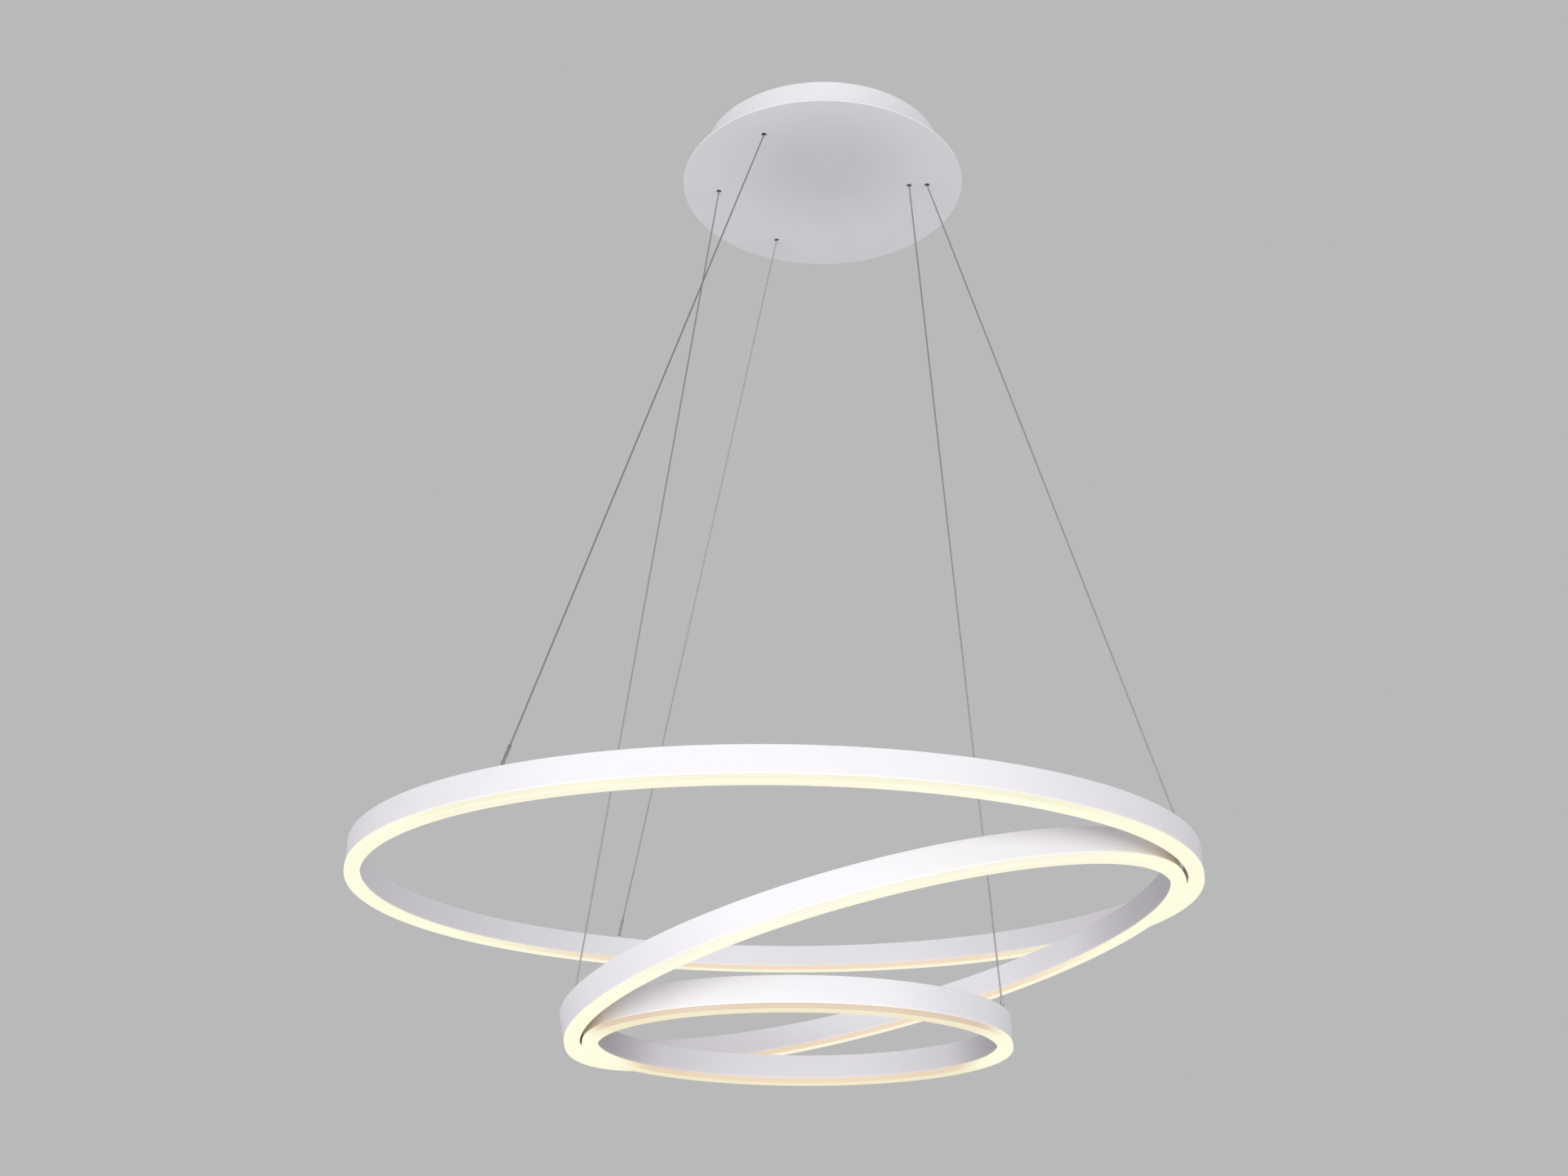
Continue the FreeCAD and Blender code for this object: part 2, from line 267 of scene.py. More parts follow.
def wire_line(points):
    """The points that a wire follows, read from the smooth spline on its control points."""
    route = bpy.data.curves.new("wire_route", "CURVE")
    route.dimensions = "3D"
    spline = route.splines.new("NURBS")
    spline.points.add(len(points) - 1)
    for control, point in zip(spline.points, points):
        control.co = (*point, 1.0)
    spline.order_u = 3
    spline.use_endpoint_u = True
    spline.resolution_u = wire_steps
    holder = bpy.data.objects.new("wire_route", route)
    drawn = bpy.data.meshes.new_from_object(holder)
    line = [vertex.co.copy() for vertex in drawn.vertices]
    bpy.data.objects.remove(holder)
    bpy.data.meshes.remove(drawn)
    bpy.data.curves.remove(route)
    return line


def length_of(line):
    return sum((b - a).length for a, b in zip(line, line[1:]))


def rope_mesh(name, line, start=0.0):
    """A round tube along a line. Its UV map runs once round the tube and in metres along it."""
    loops, run = [], []
    side = Vector((0.0, 1.0, 0.0))
    travelled = start
    turns = [math.tau * step / wire_sides for step in range(wire_sides)]
    for index, point in enumerate(line):
        before, after = line[max(index - 1, 0)], line[min(index + 1, len(line) - 1)]
        along = (after - before).normalized()
        side = (side - along * side.dot(along)).normalized()
        across = along.cross(side)
        if index:
            travelled += (point - line[index - 1]).length
        run.append(travelled)
        spokes = [side * math.cos(turn) + across * math.sin(turn) for turn in turns]
        loops.append([point + spoke * wire_radius for spoke in spokes])
    corners, faces, uvs = [], [], []
    add_loops(corners, faces, loops)
    for low, high in zip(run, run[1:]):
        for step in range(wire_sides):
            u0, u1 = step / wire_sides, (step + 1) / wire_sides
            uvs += [(u0, low), (u1, low), (u1, high), (u0, high)]
    for end in (run[0], run[-1]):
        uvs += [(0.0, end)] * wire_sides
    mesh = new_mesh(name, corners, faces)
    layer = mesh.uv_layers.new(name="rope")
    for loop, uv in zip(layer.data, uvs):
        loop.uv = uv
    return mesh


rope = rope_finish()


def hang_wire(name, node, line, body, start=0.0):
    """One stretch of suspension wire, riding on a body, in the place of its CAD solid."""
    wire = put_in_scene(name, rope_mesh(name, line, start))
    wire.data.materials.append(rope)
    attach(wire, body)
    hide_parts(node)
    return wire


for label, (hole, ferrule) in wire_ends.items():
    hole, ferrule = Vector(hole), Vector(ferrule)
    run = (ferrule - hole).normalized()
    bend = run * gripper_lead
    tail = Vector((hole.x, hole.y, wire_tail_top))
    inside = hole + Vector((0.0, 0.0, gripper_lead))
    first_points = [tail, inside, hole, hole + bend]
    if label not in tilt_move:
        line = wire_line([*first_points, ferrule - bend, ferrule])
        wire = hang_wire("suspension_wire_" + label, "wire_" + label, line, "canopy")
        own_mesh(wire)
        continue
    middle = hole + run * ((divide_height - hole.z) / run.z)
    line = wire_line([*first_points, middle - bend, middle])
    upper = hang_wire("suspension_wire_" + label + "_upper", "wire_" + label, line, "canopy")
    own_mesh(upper)
    lower_line = wire_line([middle, middle + bend, ferrule - bend, ferrule])
    lower = hang_wire(
        "suspension_wire_" + label + "_lower", "wire_" + label, lower_line, "ring_big",
        start=length_of(line),
    )
    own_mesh(lower)


# ---------------------------------------------------------------- ring channels
# Three hoops bent from an aluminium channel, 12.6 mm wide and 23 mm high with 1.5 mm walls, open
# below. Each is welded shut and ground flush, then powder coated white inside and out.

channel_width = 0.0126
channel_height = 0.0230
channel_wall = 0.0015
edge_round = 0.0004
round_steps = 3
# The walls' lowest edge carries a painted glow, standing in for the light that the strip below
# sends through its own milkiness.
painted_spill_height = 0.0022
painted_spill_glow = (0.10, 0.085, 0.045)
coat_light = (0.908, 0.900, 0.918)
coat_dark = (0.893, 0.885, 0.905)
painted_warm_light = (0.90, 0.77, 0.68)
painted_joint_shade = (0.60, 0.47, 0.38)
# Painted shade on each ring's inner wall at its left and right ends, where its neighbours keep the
# light off.
inner_end_painted_shade = {
    "big": (0.90, 0.892, 0.91),
    "middle": (0.58, 0.57, 0.59),
    "small": (0.50, 0.49, 0.51),
}
# Where that painted shade begins and is full, as shares of the ring's radius.
shade_from = 0.68
shade_to = 0.98
# The side on which each lower ring stands close to the ring above it. There its outer wall carries
# painted warm light from that ring's strip, turning to painted shade nearest the joint.
joined_side = {"middle": 1.0, "small": -1.0}
painted_warm_from = 0.66
painted_warm_to = 0.97
# How deep the outer wall's face reaches in from the ring's radius.
face_depth = 0.0008
face_blend = 0.0006
# The part of the slow unevenness that a surface's two tones are spread over.
patch_low = 0.3
patch_high = 0.7
ring_segments = {"big": 384, "middle": 320, "small": 256}
outer_radius = {"big": 0.400, "middle": 0.296, "small": 0.1965}
ring_centre = {
    "big": Vector((-0.0465, 0.0, -0.818)),
    "middle": Vector((0.045139, -0.002112, -0.892979)),
    "small": Vector((-0.023671, -0.004782, -0.962489)),
}
hinge_lean = Matrix.Rotation(math.radians(-2.2), 4, "X")
middle_slope = Matrix.Rotation(math.radians(-14.45), 4, "Y")
ring_place = {
    "big": Matrix.Translation(ring_centre["big"]),
    "middle": Matrix.Translation(ring_centre["middle"]) @ hinge_lean @ middle_slope,
    "small": Matrix.Translation(ring_centre["small"]) @ hinge_lean,
}


def rounded_outline(corners, size, steps=round_steps):
    """A closed outline with each corner cut back by size and rounded."""
    points = []
    for index, corner in enumerate(corners):
        corner = Vector(corner)
        before = (Vector(corners[index - 1]) - corner).normalized()
        after = (Vector(corners[(index + 1) % len(corners)]) - corner).normalized()
        start, end = corner + before * size, corner + after * size
        for step in range(steps + 1):
            share = step / steps
            rest = 1 - share
            points.append(start * rest ** 2 + corner * 2 * share * rest + end * share ** 2)
    return points


def turned_mesh(name, outline, segments):
    """A closed outline of (radius, height) points, turned once about the ring's own axis."""
    loops = []
    for index in range(segments):
        turn = math.tau * index / segments
        cosine, sine = math.cos(turn), math.sin(turn)
        loops.append([(radius * cosine, radius * sine, height) for radius, height in outline])
    corners, faces = [], []
    add_loops(corners, faces, loops, closed=True)
    return new_mesh(name, corners, faces)


def keep_walls_flat(piece):
    """Large faces set the shading, so that small rounded edges don't bend it across a wall."""
    piece.modifiers.new("flat_walls", "WEIGHTED_NORMAL").keep_sharp = True


def object_place(tree):
    return tree.nodes.new("ShaderNodeTexCoord").outputs["Object"]


def level_reach(tree, place, offset=(0.0, 0.0, 0.0)):
    """How far each place is from the upright axis."""
    flat = add_node(tree, "ShaderNodeVectorMath", {"operation": "MULTIPLY_ADD"})
    tree.links.new(place, flat.inputs[0])
    flat.inputs[1].default_value = (1.0, 1.0, 0.0)
    flat.inputs[2].default_value = offset
    reach = add_node(tree, "ShaderNodeVectorMath", {"operation": "LENGTH"})
    tree.links.new(flat.outputs["Vector"], reach.inputs[0])
    return reach.outputs["Value"]


def add_mix(tree, factor, under, over, blend="MIX"):
    """One colour laid over another."""
    node = add_node(tree, "ShaderNodeMix", {"data_type": "RGBA", "blend_type": blend})
    for label, source in (("Factor", factor), ("A", under), ("B", over)):
        feed(tree, node.inputs[label], source)
    return node.outputs["Result"]


def add_noise(tree, vector, scale, detail, roughness):
    """Noise whose scale comes from a socket."""
    noise = add_node(tree, "ShaderNodeTexNoise", {}, {"Detail": detail, "Roughness": roughness})
    tree.links.new(vector, noise.inputs["Vector"])
    tree.links.new(scale, noise.inputs["Scale"])
    return noise.outputs["Fac"]


def grain_effect():
    """Fine grain and slow unevenness for painted and cast surfaces."""
    effect, given, made = new_effect(
        "coat_grain",
        [
            ("Vector", "NodeSocketVector", (0, 0, 0)),
            ("Grain Size", "NodeSocketFloat", 900.0),
            ("Patch Size", "NodeSocketFloat", 14.0),
        ],
        [("Grain", "NodeSocketFloat"), ("Patches", "NodeSocketFloat")],
    )
    vector = given.outputs["Vector"]
    grain = add_noise(effect, vector, given.outputs["Grain Size"], detail=2.0, roughness=0.5)
    patches = add_noise(effect, vector, given.outputs["Patch Size"], detail=3.0, roughness=0.6)
    effect.links.new(grain, made.inputs["Grain"])
    effect.links.new(patches, made.inputs["Patches"])
    return effect


coat_grain = grain_effect()


def coated_finish(
    name, slot, light, dark, roughness=(0.42, 0.50), grain_size=900.0, grain_depth=0.00006,
):
    """A sprayed or moulded surface: two close tones in slow patches, and a fine grain.

    Where a finish gives no roughness or grain, it has the powder coat's.
    """
    finish = new_finish(name, slot, roughness[0])
    tree, shader = finish.node_tree, shader_of(finish)
    grain = place_effect(tree, coat_grain, object_place(tree), {"Grain Size": grain_size})
    patches = grain.outputs["Patches"]
    colour = add_ramp(tree, patches, [(patch_low, dark), (patch_high, light)])
    rough = add_range(tree, patches, patch_low, patch_high, to=roughness)
    tree.links.new(colour, shader.inputs["Base Color"])
    tree.links.new(rough, shader.inputs["Roughness"])
    add_bump(finish, grain.outputs["Grain"], 0.35, grain_depth)
    return finish


def coat_with_painted_light(ring):
    """White powder coat with painted light: a glow along its lowest edge, shade at its inner wall's
    ends, and warm light turning to shade where the next ring's strip stands close.
    """
    radius = outer_radius[ring]
    finish = coated_finish("painted_light_powder_coat_" + ring, "white_powder_coat", coat_light, coat_dark)
    tree, shader = finish.node_tree, shader_of(finish)
    place = object_place(tree)
    x, _, z = axes_of(tree, place)
    # A painted glow along the walls' lowest edge, given as emission.
    spill = add_range(tree, z, -channel_height + painted_spill_height, -channel_height, smooth=True)
    lit = add_ramp(tree, spill, [(0.0, (0.0, 0.0, 0.0)), (1.0, painted_spill_glow)])
    tree.links.new(lit, shader.inputs["Emission Color"])
    shader.inputs["Emission Strength"].default_value = 1.0
    face = radius - face_depth
    outside = add_range(tree, level_reach(tree, place), face, face + face_blend)
    # Painted shade on the inner wall towards the ring's left and right ends.
    sideways = add_math(tree, "ABSOLUTE", x)
    ends = add_range(tree, sideways, shade_from * radius, shade_to * radius, smooth=True)
    painted_inner_end_shade = add_math(tree, "SUBTRACT", ends, outside, clamp=True)
    plain = shader.inputs["Base Color"].links[0].from_socket
    colour = add_mix(tree, painted_inner_end_shade, plain, (*inner_end_painted_shade[ring], 1.0))
    # Painted warm light on the outer wall near the ring above, turning to painted shade at the
    # joint.
    if ring in joined_side:
        side = joined_side[ring] * radius
        near = add_range(tree, x, painted_warm_from * side, painted_warm_to * side, smooth=True)
        painted_joint_tint = add_ramp(tree, near, [(0.0, painted_warm_light), (0.6, painted_warm_light), (1.0, painted_joint_shade)])
        colour = add_mix(tree, add_math(tree, "MULTIPLY", near, outside), colour, painted_joint_tint)
    tree.links.new(colour, shader.inputs["Base Color"])
    return finish


for ring, radius in outer_radius.items():
    inner = radius - channel_width
    outline = [
        (radius, 0.0),
        (inner, 0.0),
        (inner, -channel_height),
        (inner + channel_wall, -channel_height),
        (inner + channel_wall, -channel_wall),
        (radius - channel_wall, -channel_wall),
        (radius - channel_wall, -channel_height),
        (radius, -channel_height),
    ]
    name = "ring_channel_" + ring
    rounded = rounded_outline(outline, edge_round)
    hoop = put_in_scene(name, turned_mesh(name, rounded, ring_segments[ring]))
    hoop.matrix_world = ring_place[ring]
    hoop.data.materials.append(coat_with_painted_light(ring))
    keep_walls_flat(hoop)
    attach(hoop, "ring_" + ring)
    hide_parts("channel_" + ring)


# ---------------------------------------------------------------- opal diffusers
# A milky silicone strip, 14 mm wide and 5.5 mm deep, closes each channel from below and stands a
# little proud of its walls. It is extruded straight, bent round the hoop and pressed in on small
# hooks.

diffuser_width = 0.0140
diffuser_height = 0.0055
diffuser_round = 0.0011
diffuser_round_steps = 4
hook_length = 0.010
hook_height = 0.004
hook_clearance = 0.0003
hook_width = channel_width - 2 * channel_wall - 2 * hook_clearance
# The hooks start a little inside the strip, and are narrower at the top.
hook_root = 0.0002
hook_taper = 0.86
hook_count = {"big": 6, "middle": 4, "small": 3}
opal_light = (0.34, 0.31, 0.24)
opal_dark = (0.30, 0.27, 0.20)
outer_glow = {
    "big": (0.69, 0.69, 0.52),
    "middle": (0.72, 0.71, 0.60),
    "small": (0.50, 0.38, 0.28),
}
inner_glow = (0.68, 0.53, 0.36)
bottom_glow = {
    "big": (0.85, 0.84, 0.65),
    "middle": (0.86, 0.85, 0.66),
    "small": (0.77, 0.72, 0.49),
}
painted_end_glow = (0.90, 0.90, 0.67)
glow_strength = 0.86
# The inner side's glow passes into the outer side's this far about the strip's middle.
side_blend = 0.004
# Heights above the strip's bottom between which the side's glow passes into the bottom's.
bottom_blend = (0.0012, 0.0001)
# How far round towards its left and right ends each strip's sides stay warm, before a brighter
# painted glow takes over.
painted_end_glow_from = {"big": 0.45, "middle": 0.45, "small": 0.80}
painted_end_glow_to = 0.97


def opal_finish(ring):
    """Milky silicone, lit from inside: brightest below, warmer on its sides, most on the inner, and
    with a brighter painted glow towards its left and right ends.
    """
    finish = new_finish("opal_silicone_" + ring, "opal_diffuser", roughness=0.45)
    tree, shader = finish.node_tree, shader_of(finish)
    middle = outer_radius[ring] - channel_width / 2
    bottom = -channel_height - diffuser_height
    place = object_place(tree)
    x, _, z = axes_of(tree, place)
    reach = level_reach(tree, place)
    outward = add_range(tree, reach, middle - side_blend, middle + side_blend)
    sides = add_ramp(tree, outward, [(0.0, inner_glow), (1.0, outer_glow[ring])])
    below = add_range(tree, z, bottom + bottom_blend[0], bottom + bottom_blend[1], smooth=True)
    section = add_mix(tree, below, sides, (*bottom_glow[ring], 1.0))
    # A brighter, paler painted glow towards the strip's left and right ends.
    sideways = add_math(tree, "ABSOLUTE", add_math(tree, "DIVIDE", x, reach))
    ends = add_range(tree, sideways, painted_end_glow_from[ring], painted_end_glow_to, smooth=True)
    glow = add_mix(tree, ends, section, (*painted_end_glow, 1.0))
    tree.links.new(glow, shader.inputs["Emission Color"])
    shader.inputs["Emission Strength"].default_value = glow_strength
    cream = place_effect(tree, coat_grain, place, {"Grain Size": 500.0, "Patch Size": 9.0})
    tones = [(patch_low, opal_dark), (patch_high, opal_light)]
    body = add_ramp(tree, cream.outputs["Patches"], tones)
    tree.links.new(body, shader.inputs["Base Color"])
    add_bump(finish, cream.outputs["Grain"], strength=0.2, distance=0.00003)
    return finish


def block_on(corners, faces, middle, turn, top):
    """One hook: a small block standing on the strip, between the channel's walls."""
    first = len(corners)
    for x in (-hook_width / 2, hook_width / 2):
        for y in (-hook_length / 2, hook_length / 2):
            for z in (top - hook_root, top + hook_height):
                narrow = 1.0 if z < top else hook_taper
                point = Vector((middle + x * narrow, y * narrow, z))
                corners.append(Matrix.Rotation(turn, 3, "Z") @ point)
    sides = ((0, 1, 3, 2), (4, 6, 7, 5), (0, 4, 5, 1), (2, 3, 7, 6), (1, 5, 7, 3), (0, 2, 6, 4))
    for side in sides:
        faces.append(tuple(first + corner for corner in side))


def hooks_mesh(ring):
    corners, faces = [], []
    for index in range(hook_count[ring]):
        turn = math.tau * (index + 0.5) / hook_count[ring]
        block_on(corners, faces, outer_radius[ring] - channel_width / 2, turn, -channel_height)
    return new_mesh("diffuser_hooks_" + ring, corners, faces, smooth=False)


for ring, radius in outer_radius.items():
    middle, half = radius - channel_width / 2, diffuser_width / 2
    top, bottom = -channel_height, -channel_height - diffuser_height
    left, right = middle - half, middle + half
    outline = [(right, top), (left, top), (left, bottom), (right, bottom)]
    rounded = rounded_outline(outline, diffuser_round, diffuser_round_steps)
    opal = opal_finish(ring)
    name = "opal_diffuser_" + ring
    strip = put_in_scene(name, turned_mesh(name, rounded, ring_segments[ring]))
    hooks = put_in_scene("diffuser_hooks_" + ring, hooks_mesh(ring))
    for piece in (strip, hooks):
        piece.matrix_world = ring_place[ring]
        piece.data.materials.append(opal)
        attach(piece, "ring_" + ring)
        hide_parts("diffuser_" + ring)
    keep_walls_flat(strip)


# ---------------------------------------------------------------- LED boards
# Narrow white circuit boards lie end to end round each channel's ceiling, glued on with thermal
# tape. A line of yellow phosphor runs along each, broken into chips.

chip_density = 260.0
chip_middle = (0.88, 0.70, 0.16)
chip_edge = (0.82, 0.60, 0.10)
chip_gap = (0.60, 0.55, 0.40)


def finish_node(node, finish):
    """Gives a CAD solid's object its finish."""
    piece = nodes[node]
    piece.data.materials.clear()
    piece.data.materials.append(finish)
    return piece


def phosphor_finish():
    """Yellow phosphor in small round chips, paler between them."""
    finish = new_finish("led_phosphor", "led_phosphor", roughness=0.4)
    tree = finish.node_tree
    chips = add_node(tree, "ShaderNodeTexVoronoi", {}, {"Scale": chip_density})
    tree.links.new(object_place(tree), chips.inputs["Vector"])
    distance = chips.outputs["Distance"]
    colour = add_ramp(tree, distance, [(0.0, chip_middle), (0.45, chip_edge), (0.75, chip_gap)])
    tree.links.new(colour, shader_of(finish).inputs["Base Color"])
    add_bump(finish, distance, strength=0.4, distance=0.0002)
    return finish


board_white = coated_finish(
    "board_white", "board_white", light=(0.80, 0.81, 0.80), dark=(0.76, 0.77, 0.76),
    roughness=(0.35, 0.45), grain_size=400.0, grain_depth=0.00002,
)
phosphor = phosphor_finish()
for ring in outer_radius:
    finish_node("led_boards_" + ring, board_white)
    finish_node("led_lines_" + ring, phosphor)


# ---------------------------------------------------------------- hinges between the rings
# Two small butt hinges in zinc plate join the rings, the right one inside the big ring's right
# end and the left one inside the middle ring's left end. Their leaves are screwed to the walls.

# The part of the tarnish patches that a metal's two tones are spread over.
tarnish_low = 0.35
tarnish_high = 0.65


def metal_effect():
    """Drawn or plated metal: slow tarnish patches and fine random scratches."""
    effect, given, made = new_effect(
        "metal_wear",
        [
            ("Vector", "NodeSocketVector", (0, 0, 0)),
            ("Patch Size", "NodeSocketFloat", 60.0),
            ("Scratch Size", "NodeSocketFloat", 700.0),
        ],
        [("Tarnish", "NodeSocketFloat"), ("Scratches", "NodeSocketFloat")],
    )
    vector = given.outputs["Vector"]
    tarnish = add_noise(effect, vector, given.outputs["Patch Size"], detail=4.0, roughness=0.6)
    stretch = add_node(effect, "ShaderNodeVectorMath", {"operation": "MULTIPLY"})
    effect.links.new(vector, stretch.inputs[0])
    stretch.inputs[1].default_value = (1.0, 0.08, 1.0)
    scratches = add_noise(
        effect, stretch.outputs["Vector"], given.outputs["Scratch Size"], detail=5.0, roughness=0.7,
    )
    effect.links.new(tarnish, made.inputs["Tarnish"])
    effect.links.new(scratches, made.inputs["Scratches"])
    return effect


metal_wear = metal_effect()


def metal_finish(name, slot, bright, dull, roughness, patch_size=60.0):
    """Bare or plated metal, duller and rougher where it has tarnished."""
    finish = new_finish(name, slot, roughness[0], metallic=1.0)
    tree, shader = finish.node_tree, shader_of(finish)
    wear = place_effect(tree, metal_wear, object_place(tree), {"Patch Size": patch_size})
    tarnish = wear.outputs["Tarnish"]
    colour = add_ramp(tree, tarnish, [(tarnish_low, bright), (tarnish_high, dull)])
    rough = add_range(tree, tarnish, tarnish_low, tarnish_high, to=roughness)
    tree.links.new(colour, shader.inputs["Base Color"])
    tree.links.new(rough, shader.inputs["Roughness"])
    add_bump(finish, wear.outputs["Scratches"], strength=0.25, distance=0.00003)
    return finish


# The hinges' zinc is darkened to a painted shade, like the dim gaps between the rings where they
# sit.
hinge_zinc_painted_shade = metal_finish(
    "hinge_zinc_plate_painted_shade", "zinc_steel", bright=(0.24, 0.22, 0.20), dull=(0.15, 0.14, 0.13),
    roughness=(0.38, 0.55),
)
pin_steel = metal_finish(
    "pin_steel", "steel", bright=(0.34, 0.33, 0.32), dull=(0.24, 0.235, 0.23),
    roughness=(0.3, 0.45),
)
for side in ("right", "left"):
    finish_node("hinge_leaf_outer_" + side, hinge_zinc_painted_shade)
    finish_node("hinge_leaf_inner_" + side, hinge_zinc_painted_shade)
    finish_node("hinge_pin_" + side, pin_steel)


# ---------------------------------------------------------------- ferrules and bosses
# A steel sleeve, 20 mm long and 3 mm thick, is crimped on each wire's lower end with pliers, in two
# places. It stands on a low white boss that is screwed into the channel's top.

ferrule_radius = 0.0015
boss_radius = 0.0026
boss_height = 0.0020
turned_sides = 24
wire_ring = {
    "left_front": "big", "left_back": "big", "right": "big",
    "middle_ring": "middle", "small_ring": "small",
}
boss_angle = {
    "left_front": 239.5, "left_back": 119.5, "right": -3.6,
    "middle_ring": 180.0, "small_ring": 0.0,
}
# Each step along a turned piece: its share of the length, its share of the radius, and how flat it
# is pressed.
crimp = 0.24
ferrule_steps = [
    (0.00, 0.78, 0.0), (0.02, 1.00, 0.0),
    (0.19, 1.00, 0.0), (0.24, 1.00, crimp), (0.38, 1.00, crimp), (0.43, 1.00, 0.0),
    (0.57, 1.00, 0.0), (0.62, 1.00, crimp), (0.76, 1.00, crimp), (0.81, 1.00, 0.0),
    (0.98, 1.00, 0.0), (1.00, 0.78, 0.0),
]
boss_steps = [(0.00, 1.00, 0.0), (0.70, 1.00, 0.0), (0.90, 0.94, 0.0), (1.00, 0.80, 0.0)]


def add_turned(corners, faces, foot, top, radius, steps, sides=turned_sides):
    """One turned piece from its foot to its top, added to a mesh's corners and faces."""
    along = (top - foot).normalized()
    side = along.orthogonal().normalized()
    across = along.cross(side)
    loops = []
    for reach, width, flat in steps:
        turns = [math.tau * index / sides for index in range(sides)]
        spokes = [side * math.cos(turn) * (1 - flat) + across * math.sin(turn) for turn in turns]
        loops.append([foot.lerp(top, reach) + spoke * radius * width for spoke in spokes])
    add_loops(corners, faces, loops)


def built_piece(name, corners, faces, finish, body, replaced=()):
    """A smooth-shaded piece, riding on a body in the place of its CAD nodes."""
    piece = put_in_scene(name, new_mesh(name, corners, faces))
    piece.data.materials.append(finish)
    keep_walls_flat(piece)
    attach(piece, body)
    for node in replaced:
        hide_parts(node)
    return piece


ferrule_steel = metal_finish(
    "ferrule_steel", "dark_steel", bright=(0.46, 0.455, 0.45), dull=(0.32, 0.317, 0.313),
    roughness=(0.34, 0.5), patch_size=200.0,
)
nickel = metal_finish(
    "nickel", "nickel_brass", bright=(0.72, 0.69, 0.64), dull=(0.60, 0.57, 0.52),
    roughness=(0.2, 0.34),
)
boss_coat = coated_finish("white_powder_coat", "white_powder_coat", coat_light, coat_dark)

for ring, radius in outer_radius.items():
    sleeves, bosses = ([], []), ([], [])
    for label, (_, ferrule_top) in wire_ends.items():
        if wire_ring[label] != ring:
            continue
        turn = math.radians(boss_angle[label])
        middle = radius - channel_width / 2
        seat = Vector((middle * math.cos(turn), middle * math.sin(turn), 0.0))
        foot = ring_place[ring] @ seat
        top = ring_place[ring] @ (seat + Vector((0.0, 0.0, boss_height)))
        add_turned(*bosses, foot, top, boss_radius, boss_steps)
        add_turned(*sleeves, top, Vector(ferrule_top), ferrule_radius, ferrule_steps)
    body = "ring_" + ring
    built_piece(
        "crimped_ferrules_" + ring, *sleeves, ferrule_steel, body, ["wire_ferrules_" + ring],
    )
    built_piece("wire_bosses_white_" + ring, *bosses, boss_coat, body, ["wire_bosses_" + ring])


# ---------------------------------------------------------------- canopy
# A pressed steel drum stands against the ceiling, and a flat steel plate, wider than the drum,
# closes it from below. The wires come out of five small holes in the plate. Both are powder coated
# white.

drum_radius = 0.132
drum_wall = 0.0012
plate_radius = 0.156
plate_thickness = 0.0020
plate_top = canopy_bottom + plate_thickness
plate_round = 0.0006
hole_radius = 0.0030
hole_round = 0.0004
canopy_segments = 192
hole_segments = 32
# The canopy was coated in another batch than the rings, a touch whiter.
canopy_light = (0.960, 0.952, 0.966)
canopy_dark = (0.945, 0.937, 0.952)
# The plate carries a painted shade, darkest about a place in front of its middle and fading out to
# its rim.
plate_painted_shade = (0.85, 0.85, 0.85)
plate_painted_shade_shift = 0.04
plate_painted_shade_from = 0.02
plate_painted_shade_to = 0.14


def loop_at(mesh, centre, radius, height, segments):
    """A level circle of new vertices."""
    turns = [math.tau * index / segments for index in range(segments)]
    spokes = [(radius * math.cos(turn), radius * math.sin(turn)) for turn in turns]
    return [mesh.verts.new((centre[0] + x, centre[1] + y, height)) for x, y in spokes]


def band_between(mesh, one, other):
    for index in range(len(one)):
        after = (index + 1) % len(one)
        mesh.faces.new((one[index], one[after], other[after], other[index]))


def plate_with_holes(name):
    """A round plate with a rounded rim, and a small round edge at each wire's hole."""
    built = bmesh.new()
    flats = {canopy_bottom: [], plate_top: []}
    circles = [((0.0, 0.0), plate_radius, -1, plate_round, canopy_segments)]
    circles += [(hole, hole_radius, 1, hole_round, hole_segments) for hole, _ in wire_ends.values()]
    for centre, radius, inward, size, segments in circles:
        walls = []
        for level, rise in ((canopy_bottom, 1), (plate_top, -1)):
            loops = []
            for step in range(round_steps + 1):
                turn = math.pi / 2 * step / round_steps
                width = radius + inward * size * (1 - math.sin(turn))
                height = level + rise * size * (1 - math.cos(turn))
                loops.append(loop_at(built, centre, width, height, segments))
            for one, other in zip(loops, loops[1:]):
                band_between(built, one, other)
            flats[level].append(loops[0])
            walls.append(loops[-1])
        band_between(built, walls[0], walls[1])
    built.edges.ensure_lookup_table()
    for loops in flats.values():
        edges = [
            built.edges.get((loop[index - 1], loop[index]))
            for loop in loops for index in range(len(loop))
        ]
        bmesh.ops.triangle_fill(built, use_beauty=True, edges=edges)
    bmesh.ops.recalc_face_normals(built, faces=built.faces)
    mesh = bpy.data.meshes.new(name)
    built.to_mesh(mesh)
    built.free()
    mesh.shade_smooth()
    return mesh


drum_coat = coated_finish("drum_powder_coat", "white_powder_coat", canopy_light, canopy_dark)


def plate_finish():
    """The canopy's powder coat, with a painted shade darkening it towards the plate's middle."""
    finish = coated_finish("plate_powder_coat_painted_shade", "white_powder_coat", canopy_light, canopy_dark)
    tree, shader = finish.node_tree, shader_of(finish)
    reach = level_reach(tree, object_place(tree), offset=(0.0, plate_painted_shade_shift, 0.0))
    rim = add_range(tree, reach, plate_painted_shade_from, plate_painted_shade_to, smooth=True)
    shade = add_ramp(tree, rim, [(0.0, plate_painted_shade), (1.0, (1.0, 1.0, 1.0))])
    plain = shader.inputs["Base Color"].links[0].from_socket
    colour = add_mix(tree, 1.0, plain, shade, blend="MULTIPLY")
    tree.links.new(colour, shader.inputs["Base Color"])
    return finish


